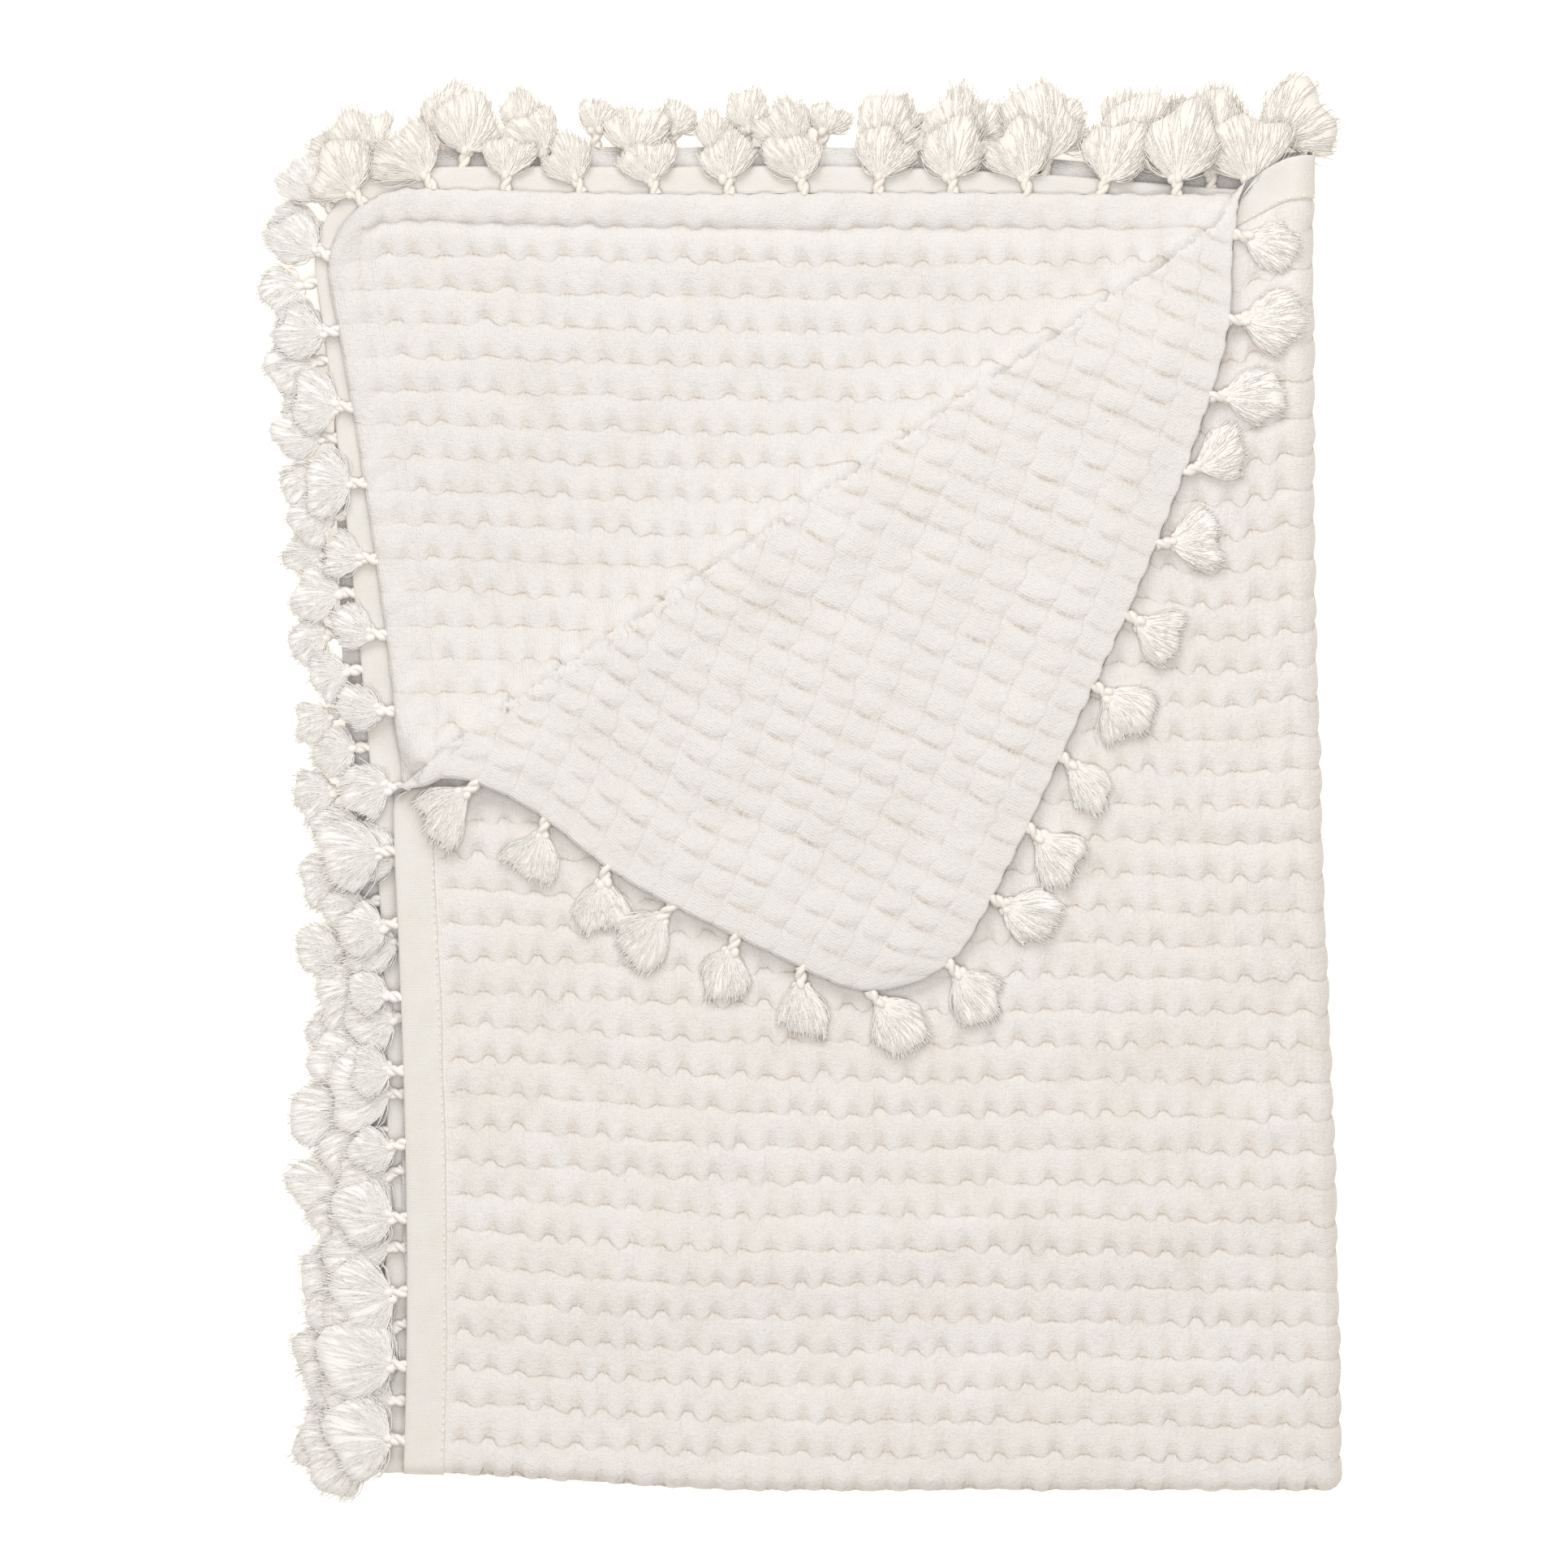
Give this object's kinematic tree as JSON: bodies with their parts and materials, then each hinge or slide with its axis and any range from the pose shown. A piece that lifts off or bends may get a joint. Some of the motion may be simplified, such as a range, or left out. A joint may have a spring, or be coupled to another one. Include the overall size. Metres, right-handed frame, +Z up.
{
  "type": "waffle baby blanket",
  "caption": "Cream cotton waffle baby blanket with a tasselled edge and plain facing tape, folded in quarters and laid flat with one corner turned back.",
  "frame": {"origin": "under the middle of the folded blanket's box, on the surface that it lies on", "axes": "+Z up from the surface, +X towards the fold at the right, +Y from the bottom fold towards the open top edge"},
  "size_m": [0.4354, 0.5578, 0.0318],
  "materials": {
    "waffle_cotton": "soft matt waffle weave",
    "plain_cotton": "fine matt plain weave",
    "tassel_cotton": "soft matt yarn"
  },
  "bodies": {
    "root": {"waffle_cloth": "waffle_cotton", "facing_tape": "plain_cotton", "tassels_first_left": "tassel_cotton", "tassels_flap_lower": "tassel_cotton", "tassels_flap_side": "tassel_cotton", "tassels_second_left": "tassel_cotton", "tassels_second_top": "tassel_cotton", "tassels_third_left": "tassel_cotton", "tassels_third_top": "tassel_cotton", "tassels_fourth_left": "tassel_cotton", "tassels_fourth_top": "tassel_cotton"}
  },
  "joints": []
}
